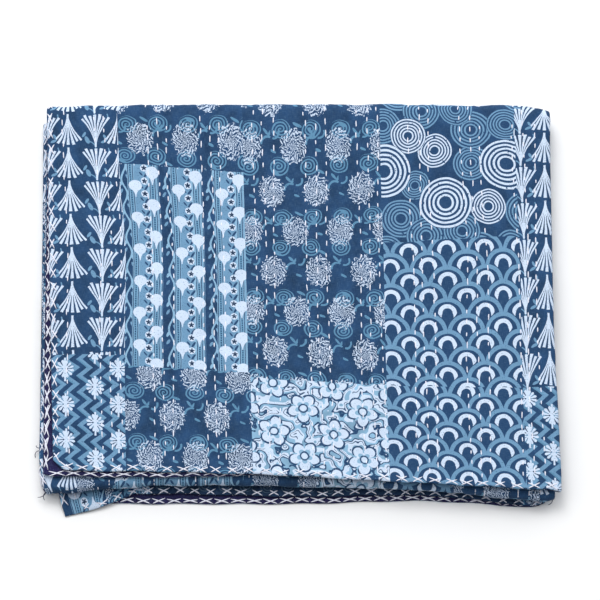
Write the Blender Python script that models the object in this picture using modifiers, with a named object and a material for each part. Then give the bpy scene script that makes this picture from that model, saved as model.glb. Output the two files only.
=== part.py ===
"""A kantha quilt, folded for the shelf, in metres with +Z up.

The quilt is one cloth. It is folded in half across its width, print outwards, which gives a doubled
panel: an outer sheet over an inner sheet, joined by the side fold at +X, with both side hems at -X.
The doubled panel is then folded back and forth into four panels, from the top down:
top hems at the front, a far fold, a near fold, a second far fold, and the bottom hems at the front.
The middle surface of the cloth follows that path, and a Solidify gives it its thickness.
"""

import math

import bmesh
import bpy

# Driving sizes
CLOTH = 0.0030
SHEET_GAP = 0.0018
PANEL_GAP = 0.0028
PANELS = 4
HALF_WIDTH = 0.365

# Mesh steps. The quilted top sheet has fine columns, two for each row of stitches. The other sheets
# keep a few of these, closer together near their sides.
FINE_COLUMNS = 96
COARSE_STEP = 6
SIDE_STEPS = (1, 3)
SIDE_FOLD_STEPS = 4
PANEL_ROWS = 7
BOTTOM_HEM_ROWS = (0.94, 0.97)
FOLD_STEPS = 6

# Quilting on the top sheet: a valley under each row of running stitch
RIDGE = 0.0009
RIDGE_DRIFT = 0.00025

SHEET_OFFSET = (CLOTH + SHEET_GAP) / 2
HALF_PAIR = SHEET_OFFSET + CLOTH / 2
PITCH = 2 * HALF_PAIR + PANEL_GAP
FOLD_RADIUS = PITCH / 2
FOLD_REACH = FOLD_RADIUS + HALF_PAIR
OUTER, INNER = 1.0, -1.0

# Where each end of a panel lies along Y, at five places across the width from -X to +X, and how far
# its corners draw in. A hem has a row for each sheet, and a fold has one for both.
END_COLUMNS = (
    "end", "sheet", "left", "left_quarter", "middle", "right_quarter", "right",
    "left_corner", "left_corner_reach", "right_corner", "right_corner_reach",
)
ENDS = (
    (0, OUTER, -0.2500, -0.2522, -0.2584, -0.2690, -0.2785, 0.016, 0.022, -0.002, 0.020),
    (0, INNER, -0.2570, -0.2584, -0.2560, -0.2660, -0.2785, 0.006, 0.012, -0.002, 0.020),
    (1, None, 0.3034, 0.3058, 0.3064, 0.3060, 0.3050, 0.003, 0.010, 0.012, 0.045),
    (2, None, -0.2785, -0.2670, -0.2684, -0.2745, -0.2915, 0.000, 0.010, 0.006, 0.026),
    (3, None, 0.2856, 0.2885, 0.2900, 0.2915, 0.2890, 0.004, 0.012, 0.008, 0.040),
    (4, OUTER, -0.2875, -0.2882, -0.2880, -0.2842, -0.2955, 0.010, 0.020, 0.008, 0.022),
    (4, INNER, -0.2755, -0.2750, -0.2790, -0.2776, -0.2955, 0.000, 0.010, 0.008, 0.022),
)
FAR_ENDS = (1, 3)
HEM_ENDS = (0, 4)

# The sides at each end: the two side hems at -X and the outside of the side fold at +X, then how far
# the side fold bows out along the panel that starts there.
SIDE_COLUMNS = ("end", "left_outer", "left_inner", "right", "bow")
SIDES = (
    (0, -0.3432, -0.3576, 0.3700, -0.0035),
    (1, -0.3638, -0.3622, 0.3648, 0.0015),
    (2, -0.3622, -0.3646, 0.3612, -0.0020),
    (3, -0.3694, -0.3688, 0.3600, 0.0010),
    (4, -0.3260, -0.3320, 0.3480, 0.0000),
)

# How far each panel sags where the bottom panel is not under it, and past the second far fold
SAG_COLUMNS = ("panel", "side_sag", "far_sag")
SAGS = ((0, 0.0066, 0.0036), (1, 0.0074, 0.0042), (2, 0.0080, 0.0), (3, 0.0, 0.0))
LEFT_SAG_REACH = 0.034
RIGHT_SAG_REACH = 0.024
RIGHT_SAG_START = 0.004
RIGHT_SAG_SHARE = 0.4
FAR_SAG_REACH = 0.022
FAR_SAG_START = 0.003

# The near fold's loose end at -X draws in at its nose, over a share of the width
NOSE_DRAW_IN = 0.013
NOSE_LENGTH = 0.030
NOSE_REACH = 0.083

# The turned-out corner of the bottom panel's inner sheet, which lies on the table in front
FLAP_HINGE_X = -0.2318
FLAP_WIDTH = 0.100
FLAP_PULL = 0.0321
FLAP_PULL_POWER = 0.75
FLAP_DEPTH = 0.130
FLAP_TURN = 0.30
FLAP_CORNER_SHIFT = 0.005
FLAP_DROP_START = -0.289
FLAP_DROP_LENGTH = 0.016
FLAP_LIFT = 0.0004

# Slow waves of the whole stack, as (height share, wave along X, wave along Y, turn)
WAVES = ((0.020, 0.310, 0.420, 0.7), (0.012, 0.170, -0.260, 2.1))
HEM_RIPPLE = 0.0007
HEM_RIPPLE_LENGTH = 0.083

PRINT_BLUE = (0.030, 0.075, 0.210, 1.0)
COTTON_ROUGHNESS = 0.9


def named_rows(columns, rows):
    return [dict(zip(columns, row)) for row in rows]


END_ROWS = {(row["end"], row["sheet"]): row for row in named_rows(END_COLUMNS, ENDS)}
SIDE_ROWS = {row["end"]: row for row in named_rows(SIDE_COLUMNS, SIDES)}
SAG_ROWS = {row["panel"]: row for row in named_rows(SAG_COLUMNS, SAGS)}


def mix(low, high, share):
    return low + (high - low) * share


def smooth(share):
    share = min(max(share, 0.0), 1.0)
    return share * share * (3 - 2 * share)


def eased(values, share):
    """A smooth curve through evenly spaced values, read at a share of its length."""
    place = min(max(share, 0.0), 1.0) * (len(values) - 1)
    first = min(int(place), len(values) - 2)
    before = values[max(first - 1, 0)]
    start, finish = values[first], values[first + 1]
    after = values[min(first + 2, len(values) - 1)]
    t = place - first
    start_slope = (finish - before) / 2
    finish_slope = (after - start) / 2
    return (
        start * (2 * t**3 - 3 * t**2 + 1)
        + start_slope * (t**3 - 2 * t**2 + t)
        + finish * (3 * t**2 - 2 * t**3)
        + finish_slope * (t**3 - t**2)
    )


def corner(distance, depth, reach):
    """How far a rounded corner draws in, at a distance from its side."""
    return depth * max(0.0, 1 - distance / reach) ** 2


def end_row_y(row, x):
    """Y of one end row, at X."""
    places = ("left", "left_quarter", "middle", "right_quarter", "right")
    y = eased([row[place] for place in places], (x + HALF_WIDTH) / (2 * HALF_WIDTH))
    side = SIDE_ROWS[row["end"]]
    left = side["left_inner"] if row["sheet"] == INNER else side["left_outer"]
    drawn = corner(max(x - left, 0.0), row["left_corner"], row["left_corner_reach"])
    drawn += corner(max(side["right"] - x, 0.0), row["right_corner"], row["right_corner_reach"])
    ripple = HEM_RIPPLE * math.sin(2 * math.pi * x / HEM_RIPPLE_LENGTH + 1.9 * row["end"])
    outward = 1 if row["end"] in FAR_ENDS else -1
    return y - outward * (drawn + ripple)


def end_y(end, x, side):
    """Y of an end of a panel. side runs from OUTER to INNER round the side fold."""
    if end not in HEM_ENDS:
        return end_row_y(END_ROWS[end, None], x)
    outer = end_row_y(END_ROWS[end, OUTER], x)
    inner = end_row_y(END_ROWS[end, INNER], x)
    return mix(inner, outer, (side + 1) / 2)


def panel_z(panel):
    return HALF_PAIR + (PANELS - 1 - panel) * PITCH


def turn_y(end, x, side):
    """Where a straight panel stops: at its hem, or at the centre of its fold."""
    y = end_y(end, x, side)
    if end in HEM_ENDS:
        return y
    return y - FOLD_REACH if end in FAR_ENDS else y + FOLD_REACH


def path(station, x, side):
    """The doubled panel's middle at a station: Y, Z and the direction towards its outer sheet."""
    kind, number, share = station
    if kind == "panel":
        y = mix(turn_y(number, x, side), turn_y(number + 1, x, side), share)
        return y, panel_z(number), 0.0, (1.0 if number % 2 == 0 else -1.0)
    angle = math.pi * (0.5 - share)
    away = 1 if number in FAR_ENDS else -1
    y = turn_y(number, x, side) + FOLD_RADIUS * away * math.cos(angle)
    z = (panel_z(number - 1) + panel_z(number)) / 2 + FOLD_RADIUS * math.sin(angle)
    return y, z, math.cos(angle), away * math.sin(angle)


def stations():
    """Every row of points along the path, from the top hem to the bottom hem."""
    rows = []
    for panel in range(PANELS):
        shares = [step / PANEL_ROWS for step in range(PANEL_ROWS + 1)]
        if panel == PANELS - 1:
            shares = sorted(shares + list(BOTTOM_HEM_ROWS))
        rows += [("panel", panel, share) for share in shares]
        if panel < PANELS - 1:
            rows += [("fold", panel + 1, step / FOLD_STEPS) for step in range(1, FOLD_STEPS)]
    return rows


def along(station):
    """The ends before and after a station, and the share of the way between them."""
    kind, number, share = station
    return (number, number + 1, share) if kind == "panel" else (number, number, 0.0)


def side_place(station, name):
    before, after, share = along(station)
    return mix(SIDE_ROWS[before][name], SIDE_ROWS[after][name], share)


def nose_share(y):
    """How near a point of the near fold's loose end is to its nose, from 0 to 1."""
    nose = END_ROWS[2, None]["left"]
    return max(0.0, 1 - (y - nose) / NOSE_LENGTH) ** 2


def sag_size(station, name):
    """A panel's sag, or a mix of two panels' in the fold between them."""
    kind, number, share = station
    if kind == "panel":
        return SAG_ROWS[number][name]
    return mix(SAG_ROWS[number - 1][name], SAG_ROWS[number][name], share)


def sag(station, x, y):
    """How far a point sinks where the bottom panel is not under it."""
    back, front = SIDE_ROWS[3], SIDE_ROWS[4]
    forward = min(max((END_ROWS[3, None]["left"] - y) / 0.57, 0.0), 1.0)
    left_edge = mix(back["left_inner"], front["left_inner"], forward)
    right_edge = mix(back["right"], front["right"], forward)
    left = smooth((left_edge - x) / LEFT_SAG_REACH)
    right = RIGHT_SAG_SHARE * smooth((x - right_edge + RIGHT_SAG_START) / RIGHT_SAG_REACH)
    far_edge = end_row_y(END_ROWS[3, None], x)
    far = smooth((y - far_edge + FAR_SAG_START) / FAR_SAG_REACH)
    return sag_size(station, "side_sag") * max(left, right) + sag_size(station, "far_sag") * far


def wave(x, y):
    return sum(
        share * math.sin(2 * math.pi * (x / along_x + y / along_y) + turn)
        for share, along_x, along_y, turn in WAVES
    )


def flap(x, y, z, hem_y):
    """The bottom panel's inner sheet, with its front corner turned out onto the table."""
    across = min(max((FLAP_HINGE_X - x) / FLAP_WIDTH, 0.0), 1.0)
    back = y - hem_y
    fade = smooth(1 - back / FLAP_DEPTH)
    pulled_y = y - FLAP_PULL * across**FLAP_PULL_POWER * fade
    pulled_x = x + (FLAP_CORNER_SHIFT - FLAP_TURN * back) * across * fade
    drop = smooth((FLAP_DROP_START - pulled_y) / FLAP_DROP_LENGTH) * smooth(4 * across)
    return pulled_x, pulled_y, mix(z, CLOTH / 2 + FLAP_LIFT, drop)


def cloth_point(station, column, ridge):
    """A point of the cloth's middle surface. column runs from 0 at the outer sheet's side hem to 1 at
    the side fold, to 2 round the fold, and to 3 at the inner sheet's side hem."""
    around = min(max(column - 1, 0.0), 1.0)
    turn = math.pi * (0.5 - around)
    side = math.sin(turn)
    before, after, share = along(station)
    right = side_place(station, "right") - HALF_PAIR
    if before != after:
        right += SIDE_ROWS[before]["bow"] * math.sin(math.pi * share)
    left = side_place(station, "left_outer" if side > 0 else "left_inner")
    across = column if column <= 1 else 3 - column
    x = right + SHEET_OFFSET * math.cos(turn)
    if not 1 < column < 2:
        x = mix(left, right, across)
    y, z, out_y, out_z = path(station, min(x, right), side)
    offset = SHEET_OFFSET * side + (ridge if side > 0 else 0.0)
    y += out_y * offset
    z += out_z * offset
    kind, number, share = station
    if number in (1, 2) and not 1 < column < 2:
        x += NOSE_DRAW_IN * nose_share(y) * max(0.0, 1 - across / NOSE_REACH)
    z -= sag(station, min(x, right), y)
    if kind == "panel" and number == PANELS - 1 and column >= 2:
        x, y, z = flap(x, y, z, end_y(number + 1, x, INNER))
    z = CLOTH / 2 + (z - CLOTH / 2) * (1 + wave(x, y))
    return x, y, z


def coarse_columns():
    """The fine columns that every sheet has."""
    middle = range(COARSE_STEP, FINE_COLUMNS, COARSE_STEP)
    far_side = [FINE_COLUMNS - step for step in reversed(SIDE_STEPS)]
    return [0, *SIDE_STEPS, *middle, *far_side, FINE_COLUMNS]


def columns_of(quilted):
    """The columns of points in a row, cell by cell. The quilted top sheet's cells are cut finer."""
    coarse = coarse_columns()
    cells = []
    for start, finish in zip(coarse, coarse[1:]):
        step = 1 if quilted else finish - start
        cells.append([place / FINE_COLUMNS for place in range(start, finish + 1, step)])
    for step in range(SIDE_FOLD_STEPS):
        cells.append([1 + step / SIDE_FOLD_STEPS, 1 + (step + 1) / SIDE_FOLD_STEPS])
    for start, finish in zip(coarse, coarse[1:]):
        cells.append([2 + start / FINE_COLUMNS, 2 + finish / FINE_COLUMNS])
    return cells


def ridge_at(column, row):
    """Height of the quilting: down on a row of stitches, up between two, a little uneven."""
    place = round(column * FINE_COLUMNS)
    up = 0.5 if place % 2 else -0.5
    return RIDGE * up + RIDGE_DRIFT * math.sin(1.7 * place + 2.3 * row)


def add_row(mesh, number, station):
    """Adds one row's points, and returns them cell by cell, each cell sharing its ends."""
    quilted = station[0] == "panel" and station[1] == 0
    row, last = [], None
    for cell in columns_of(quilted):
        points = [] if last is None else [last]
        for column in cell[len(points):]:
            ridge = ridge_at(column, number) if quilted and column < 1 else 0.0
            points.append(mesh.verts.new(cloth_point(station, column, ridge)))
        row.append(points)
        last = points[-1]
    return row


def add_faces(mesh, near, far):
    """Joins two rows, cell by cell: quads where both are cut alike, and one face where they aren't."""
    for here, there in zip(near, far):
        if len(here) == len(there):
            for step in range(len(here) - 1):
                mesh.faces.new((here[step], here[step + 1], there[step + 1], there[step]))
        else:
            mesh.faces.new(list(here) + list(reversed(there)))


def cotton(name, colour):
    material = bpy.data.materials.new(name)
    material.use_nodes = True
    shader = material.node_tree.nodes["Principled BSDF"]
    shader.inputs["Base Color"].default_value = colour
    shader.inputs["Roughness"].default_value = COTTON_ROUGHNESS
    shader.inputs["Metallic"].default_value = 0.0
    return material


def build_quilt(collection):
    mesh = bmesh.new()
    rows = [add_row(mesh, number, station) for number, station in enumerate(stations())]
    for near, far in zip(rows, rows[1:]):
        add_faces(mesh, near, far)
    bmesh.ops.recalc_face_normals(mesh, faces=mesh.faces)
    data = bpy.data.meshes.new("quilt")
    mesh.to_mesh(data)
    mesh.free()
    data.materials.append(cotton("printed_cotton", PRINT_BLUE))
    quilt = bpy.data.objects.new("quilt", data)
    collection.objects.link(quilt)
    thickness = quilt.modifiers.new("cloth", "SOLIDIFY")
    thickness.thickness = CLOTH
    thickness.offset = 0.0
    thickness.use_even_offset = True
    thickness.use_rim = True
    return quilt


def clear_scene():
    for obj in list(bpy.data.objects):
        bpy.data.objects.remove(obj, do_unlink=True)


def main():
    clear_scene()
    collection = bpy.data.collections.new("kantha_quilt")
    bpy.context.scene.collection.children.link(collection)
    build_quilt(collection)


main()
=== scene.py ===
"""The looks of a folded kantha quilt, in metres with +Z up.

The quilt is one closed sheet of cloth on the folds of the CAD solid: a patchwork of indigo prints on
one side and a navy backing on the other. Every point of it is known by its place on the cloth laid
flat, u across and v along, so the prints, the puckers and the stitches all follow the folds.
"""

import math
import random

import bmesh
import bpy
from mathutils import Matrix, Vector, noise


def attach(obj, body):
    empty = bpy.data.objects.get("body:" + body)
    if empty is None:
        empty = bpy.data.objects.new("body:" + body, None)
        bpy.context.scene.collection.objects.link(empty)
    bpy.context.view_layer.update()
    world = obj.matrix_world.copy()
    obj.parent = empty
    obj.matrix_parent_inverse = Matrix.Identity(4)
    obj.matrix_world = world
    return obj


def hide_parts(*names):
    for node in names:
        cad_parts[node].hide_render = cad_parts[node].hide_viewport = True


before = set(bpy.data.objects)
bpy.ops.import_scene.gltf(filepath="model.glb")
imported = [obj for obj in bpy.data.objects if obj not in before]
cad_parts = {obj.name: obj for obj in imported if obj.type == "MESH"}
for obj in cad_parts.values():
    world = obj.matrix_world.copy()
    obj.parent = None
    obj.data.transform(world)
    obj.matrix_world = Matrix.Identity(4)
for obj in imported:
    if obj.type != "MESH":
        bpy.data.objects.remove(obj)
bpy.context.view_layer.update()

MM = 0.001

# The folded form, with the same sizes as the solid
CLOTH = 0.0030
SHEET_GAP = 0.0018
PANEL_GAP = 0.0028
PANELS = 4
HALF_WIDTH = 0.365
SHEET_OFFSET = (CLOTH + SHEET_GAP) / 2
HALF_PAIR = SHEET_OFFSET + CLOTH / 2
PITCH = 2 * HALF_PAIR + PANEL_GAP
FOLD_RADIUS = PITCH / 2
FOLD_REACH = FOLD_RADIUS + HALF_PAIR
OUTER, INNER = 1.0, -1.0

# Where each end of a panel lies along Y, at five places across the width from -X to +X, and how far
# its corners draw in. A hem has a row for each sheet, and a fold has one for both.
END_COLUMNS = (
    "end", "sheet", "left", "left_quarter", "middle", "right_quarter", "right",
    "left_corner", "left_corner_reach", "right_corner", "right_corner_reach",
)
ENDS = (
    (0, OUTER, -0.2500, -0.2522, -0.2584, -0.2690, -0.2785, 0.016, 0.022, -0.002, 0.020),
    (0, INNER, -0.2570, -0.2584, -0.2560, -0.2660, -0.2785, 0.006, 0.012, -0.002, 0.020),
    (1, None, 0.3034, 0.3058, 0.3064, 0.3060, 0.3050, 0.003, 0.010, 0.012, 0.045),
    (2, None, -0.2785, -0.2670, -0.2684, -0.2745, -0.2915, 0.000, 0.010, 0.006, 0.026),
    (3, None, 0.2856, 0.2885, 0.2900, 0.2915, 0.2890, 0.004, 0.012, 0.008, 0.040),
    (4, OUTER, -0.2875, -0.2882, -0.2880, -0.2842, -0.2955, 0.010, 0.020, 0.008, 0.022),
    (4, INNER, -0.2755, -0.2750, -0.2790, -0.2776, -0.2955, 0.000, 0.010, 0.008, 0.022),
)
FAR_ENDS = (1, 3)
HEM_ENDS = (0, 4)

# The sides at each end: the two side hems at -X and the outside of the side fold at +X, then how far
# the side fold bows out along the panel that starts there.
SIDE_COLUMNS = ("end", "left_outer", "left_inner", "right", "bow")
SIDES = (
    (0, -0.3432, -0.3576, 0.3700, -0.0035),
    (1, -0.3638, -0.3622, 0.3648, 0.0015),
    (2, -0.3622, -0.3646, 0.3612, -0.0020),
    (3, -0.3694, -0.3688, 0.3600, 0.0010),
    (4, -0.3260, -0.3320, 0.3480, 0.0000),
)

# How far each panel sags where the bottom panel is not under it, and past the second far fold
SAG_COLUMNS = ("panel", "side_sag", "far_sag")
SAGS = ((0, 0.0066, 0.0036), (1, 0.0074, 0.0042), (2, 0.0080, 0.0), (3, 0.0, 0.0))
LEFT_SAG_REACH = 0.034
RIGHT_SAG_REACH = 0.024
RIGHT_SAG_START = 0.004
RIGHT_SAG_SHARE = 0.4
FAR_SAG_REACH = 0.022
FAR_SAG_START = 0.003

NOSE_DRAW_IN = 0.013
NOSE_LENGTH = 0.030
NOSE_REACH = 0.083

FLAP_HINGE_X = -0.2318
FLAP_WIDTH = 0.100
FLAP_PULL = 0.0321
FLAP_PULL_POWER = 0.75
FLAP_DEPTH = 0.130
FLAP_TURN = 0.30
FLAP_CORNER_SHIFT = 0.005
FLAP_DROP_START = -0.289
FLAP_DROP_LENGTH = 0.016
FLAP_LIFT = 0.0004

WAVES = ((0.020, 0.310, 0.420, 0.7), (0.012, 0.170, -0.260, 2.1))
HEM_RIPPLE = 0.0007
HEM_RIPPLE_LENGTH = 0.083

# How near its end a panel's rows follow a rounded corner
CORNER_DEPTH = 0.045
PANEL_LENGTH = 0.556

# How the top sheet's weave strays from straight, in millimetres. First towards the front: an upper
# and a lower part, each from the side hem to the side fold, and its strength from the hem to the fold.
# Then towards +X, in the same way.
UPPER_DROOP = (0, 1, 9, 17, 16, 10, 3, -6, -8)
UPPER_DROOP_STRENGTH = (0, 0.05, 0.2, 0.55, 0.85, 1, 0)
LOWER_DROOP = (0, 0, 2, 5, 8, 11, 11, 9, 5)
LOWER_DROOP_STRENGTH = (0, 0.6, 1, 0.6, 0.2, 0, 0)
SIDE_STRAY = (0, 1, 0.6, 0.2, 0.15, 0.2, 0.5, 1.2, 0)
SIDE_STRAY_STRENGTH = (-1, 0, 2, 5, -1, -4)
INNER_STRAY_REACH = 0.15

# Mesh steps
COARSE_COLUMNS = 40
TOP_CUTS = 6
SHOWN_CUTS = 3
HIDDEN_CUTS = 1
TOP_ROWS = 120
PANEL_ROWS = 14
BOTTOM_ROWS = 22
FOLD_STEPS = 8
SIDE_FOLD_STEPS = 6
HEM_ZONE_ROWS = 7
HEM_ZONE_SHARE = 0.9
TOP_SEAMS = (0.270, 0.283, 0.314, 0.647, 0.848)

# A hem's rounded edge: each step in from it and the cloth's thickness there, as a share
EDGE_STEPS = ((0.0000, 0.40), (0.0007, 0.80), (0.0020, 1.00))
HEM_WIDTH = 0.009
INNER_THICKNESS = 0.88

# Quilting: its rows of running stitch lie in groups of three
GROUP_START = 0.0095
GROUP_PITCH = 0.0745
ROW_PITCH = 0.0142
STITCH_PITCH = 0.0174
STITCH_LENGTH = 0.0092
THREAD_HALF_WIDTH = 0.00088
THREAD_HALF_HEIGHT = 0.00048

# How the quilting lifts the cloth, and its crinkles: the height, both lengths and a seed of each
PUCKER_START = 0.016
RIDGE_HEIGHT = 0.0010
RIDGE_REACH = 0.0090
GATHER = 0.00040
GATHER_REACH = 0.0048
CRINKLES = (
    (0.00075, 0.013, 0.021, 0.3),
    (0.00045, 0.0065, 0.0090, 4.1),
    (0.0011, 0.11, 0.075, 7.7),
)

# The camera, a long lens that looks down on the quilt from the front
CAMERA_ELEVATION = math.radians(71)
CAMERA_DISTANCE = 5.5
CAMERA_TARGET = Vector((0.003, 0.009, 0.02))
CAMERA_LENS = 231
FLOOR_SIZE = 12.0

# The soft light comes mostly from above and behind, and a little from the left
SKY_SLANT = (-0.08, 0.64, 0.76)


def named_rows(columns, rows):
    return [dict(zip(columns, row)) for row in rows]


END_ROWS = {(row["end"], row["sheet"]): row for row in named_rows(END_COLUMNS, ENDS)}
SIDE_ROWS = {row["end"]: row for row in named_rows(SIDE_COLUMNS, SIDES)}
SAG_ROWS = {row["panel"]: row for row in named_rows(SAG_COLUMNS, SAGS)}


def mix(low, high, share):
    return low + (high - low) * share


def smooth(share):
    share = min(max(share, 0.0), 1.0)
    return share * share * (3 - 2 * share)


def eased(values, share):
    """A smooth curve through evenly spaced values, read at a share of its length."""
    place = min(max(share, 0.0), 1.0) * (len(values) - 1)
    first = min(int(place), len(values) - 2)
    before = values[max(first - 1, 0)]
    start, finish = values[first], values[first + 1]
    after = values[min(first + 2, len(values) - 1)]
    t = place - first
    start_slope = (finish - before) / 2
    finish_slope = (after - start) / 2
    return (
        start * (2 * t**3 - 3 * t**2 + 1)
        + start_slope * (t**3 - 2 * t**2 + t)
        + finish * (3 * t**2 - 2 * t**3)
        + finish_slope * (t**3 - t**2)
    )


def corner(distance, depth, reach):
    """How far a rounded corner draws in, at a distance from its side."""
    return depth * max(0.0, 1 - distance / reach) ** 2


def corner_draw(row, x):
    """How far one end row's rounded corners draw in at X."""
    side = SIDE_ROWS[row["end"]]
    left = side["left_inner"] if row["sheet"] == INNER else side["left_outer"]
    drawn = corner(max(x - left, 0.0), row["left_corner"], row["left_corner_reach"])
    return drawn + corner(max(side["right"] - x, 0.0), row["right_corner"], row["right_corner_reach"])


def outward(end):
    return 1 if end in FAR_ENDS else -1


def end_row_line(row, x):
    """Y of one end row at X, before its corners are rounded."""
    places = ("left", "left_quarter", "middle", "right_quarter", "right")
    y = eased([row[place] for place in places], (x + HALF_WIDTH) / (2 * HALF_WIDTH))
    ripple = HEM_RIPPLE * math.sin(2 * math.pi * x / HEM_RIPPLE_LENGTH + 1.9 * row["end"])
    return y - outward(row["end"]) * ripple


def end_row_y(row, x):
    """Y of one end row, at X."""
    return end_row_line(row, x) - outward(row["end"]) * corner_draw(row, x)


def at_end(measure, end, x, side):
    """A measure of an end of a panel. side runs from OUTER to INNER round the side fold."""
    if end not in HEM_ENDS:
        return measure(END_ROWS[end, None], x)
    outer = measure(END_ROWS[end, OUTER], x)
    inner = measure(END_ROWS[end, INNER], x)
    return mix(inner, outer, (side + 1) / 2)


def end_y(end, x, side):
    return at_end(end_row_y, end, x, side)


def panel_z(panel):
    return HALF_PAIR + (PANELS - 1 - panel) * PITCH


def turn_y(end, x, side, measure=end_row_y):
    """Where a straight panel stops: at its hem, or at the centre of its fold."""
    y = at_end(measure, end, x, side)
    return y if end in HEM_ENDS else y - outward(end) * FOLD_REACH


def corner_share(share):
    """How much of a rounded corner's draw reaches a place in a panel, at a share from that end."""
    return max(0.0, 1 - share * PANEL_LENGTH / CORNER_DEPTH) ** 2


def path(station, x, side):
    """The doubled panel's middle at a station: Y, Z and the direction towards its outer sheet."""
    kind, number, share = station
    if kind == "panel":
        near = turn_y(number, x, side, end_row_line)
        far = turn_y(number + 1, x, side, end_row_line)
        near_draw = outward(number) * at_end(corner_draw, number, x, side)
        far_draw = outward(number + 1) * at_end(corner_draw, number + 1, x, side)
        y = mix(near, far, share)
        y -= near_draw * corner_share(share) + far_draw * corner_share(1 - share)
        return y, panel_z(number), 0.0, (1.0 if number % 2 == 0 else -1.0)
    angle = math.pi * (0.5 - share)
    away = outward(number)
    y = turn_y(number, x, side) + FOLD_RADIUS * away * math.cos(angle)
    z = (panel_z(number - 1) + panel_z(number)) / 2 + FOLD_RADIUS * math.sin(angle)
    return y, z, math.cos(angle), away * math.sin(angle)


def along(station):
    """The ends before and after a station, and the share of the way between them."""
    kind, number, share = station
    return (number, number + 1, share) if kind == "panel" else (number, number, 0.0)


def side_place(station, name):
    before, after, share = along(station)
    return mix(SIDE_ROWS[before][name], SIDE_ROWS[after][name], share)


def nose_share(y):
    """How near a point of the near fold's loose end is to its nose, from 0 to 1."""
    nose = END_ROWS[2, None]["left"]
    return max(0.0, 1 - (y - nose) / NOSE_LENGTH) ** 2


def sag_size(station, name):
    """A panel's sag, or a mix of two panels' in the fold between them."""
    kind, number, share = station
    if kind == "panel":
        return SAG_ROWS[number][name]
    return mix(SAG_ROWS[number - 1][name], SAG_ROWS[number][name], share)


def sag(station, x, y):
    """How far a point sinks where the bottom panel is not under it."""
    back, front = SIDE_ROWS[3], SIDE_ROWS[4]
    forward = min(max((END_ROWS[3, None]["left"] - y) / 0.57, 0.0), 1.0)
    left_edge = mix(back["left_inner"], front["left_inner"], forward)
    right_edge = mix(back["right"], front["right"], forward)
    left = smooth((left_edge - x) / LEFT_SAG_REACH)
    right = RIGHT_SAG_SHARE * smooth((x - right_edge + RIGHT_SAG_START) / RIGHT_SAG_REACH)
    far_edge = end_row_y(END_ROWS[3, None], x)
    far = smooth((y - far_edge + FAR_SAG_START) / FAR_SAG_REACH)
    return sag_size(station, "side_sag") * max(left, right) + sag_size(station, "far_sag") * far


def wave(x, y):
    return sum(
        share * math.sin(2 * math.pi * (x / along_x + y / along_y) + turn)
        for share, along_x, along_y, turn in WAVES
    )


def flap(x, y, z, hem_y):
    """The bottom panel's inner sheet, with its front corner turned out onto the table."""
    across = min(max((FLAP_HINGE_X - x) / FLAP_WIDTH, 0.0), 1.0)
    back = y - hem_y
    fade = smooth(1 - back / FLAP_DEPTH)
    pulled_y = y - FLAP_PULL * across**FLAP_PULL_POWER * fade
    pulled_x = x + (FLAP_CORNER_SHIFT - FLAP_TURN * back) * across * fade
    drop = smooth((FLAP_DROP_START - pulled_y) / FLAP_DROP_LENGTH) * smooth(4 * across)
    return pulled_x, pulled_y, mix(z, CLOTH / 2 + FLAP_LIFT, drop)


def strayed(station, column):
    """Where a place on the cloth lies once its weave has strayed from straight."""
    kind, number, share = station
    if kind == "panel" and number == 0:
        droop = eased(UPPER_DROOP, column) * eased(UPPER_DROOP_STRENGTH, share)
        droop += eased(LOWER_DROOP, column) * eased(LOWER_DROOP_STRENGTH, share)
        droop *= max(0.0, 1 - max(0.0, column - 2) / INNER_STRAY_REACH)
        share -= droop * MM / PANEL_LENGTH
        strength = eased(SIDE_STRAY_STRENGTH, station[2])
    elif kind == "fold" and number == 1:
        strength = SIDE_STRAY_STRENGTH[-1] * (1 - share)
    else:
        return station, column
    if column < 1:
        column += eased(SIDE_STRAY, column) * strength * MM / (2 * HALF_WIDTH)
    return (kind, number, min(max(share, 0.0), 1.0)), max(column, 0.0)


def cloth_point(station, column, raised):
    """A point of the cloth. column runs from 0 at the outer sheet's side hem to 1 at the side fold,
    to 2 round the fold, and to 3 at the inner sheet's side hem. raised is its height over the
    cloth's middle, towards the print."""
    station, column = strayed(station, column)
    around = min(max(column - 1, 0.0), 1.0)
    turn = math.pi * (0.5 - around)
    side = math.sin(turn)
    before, after, share = along(station)
    right = side_place(station, "right") - HALF_PAIR
    if before != after:
        right += SIDE_ROWS[before]["bow"] * math.sin(math.pi * share)
    left = side_place(station, "left_outer" if side > 0 else "left_inner")
    across = column if column <= 1 else 3 - column
    x = right + (SHEET_OFFSET + raised) * math.cos(turn)
    if not 1 < column < 2:
        x = mix(left, right, across)
    y, z, out_y, out_z = path(station, min(x, right), side)
    offset = (SHEET_OFFSET + raised) * side
    y += out_y * offset
    z += out_z * offset
    kind, number, share = station
    if number in (1, 2) and not 1 < column < 2:
        x += NOSE_DRAW_IN * nose_share(y) * max(0.0, 1 - across / NOSE_REACH)
    z -= sag(station, min(x, right), y)
    if kind == "panel" and number == PANELS - 1 and column >= 2:
        x, y, z = flap(x, y, z, end_y(number + 1, x, INNER))
    z = CLOTH / 2 + (z - CLOTH / 2) * (1 + wave(x, y))
    return Vector((x, y, z))


def stretch_length(kind, number):
    """The cloth's length in one panel or fold, along the middle of the outer sheet."""
    steps = 24
    line = [cloth_point((kind, number, step / steps), 0.5, 0.0) for step in range(steps + 1)]
    return sum((far - near).length for near, far in zip(line, line[1:]))


def sheet_width():
    """The width of one sheet, from its side hem to the side fold, halfway along the top panel."""
    middle = ("panel", 0, 0.5)
    return (cloth_point(middle, 1, 0.0) - cloth_point(middle, 0, 0.0)).length


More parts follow.
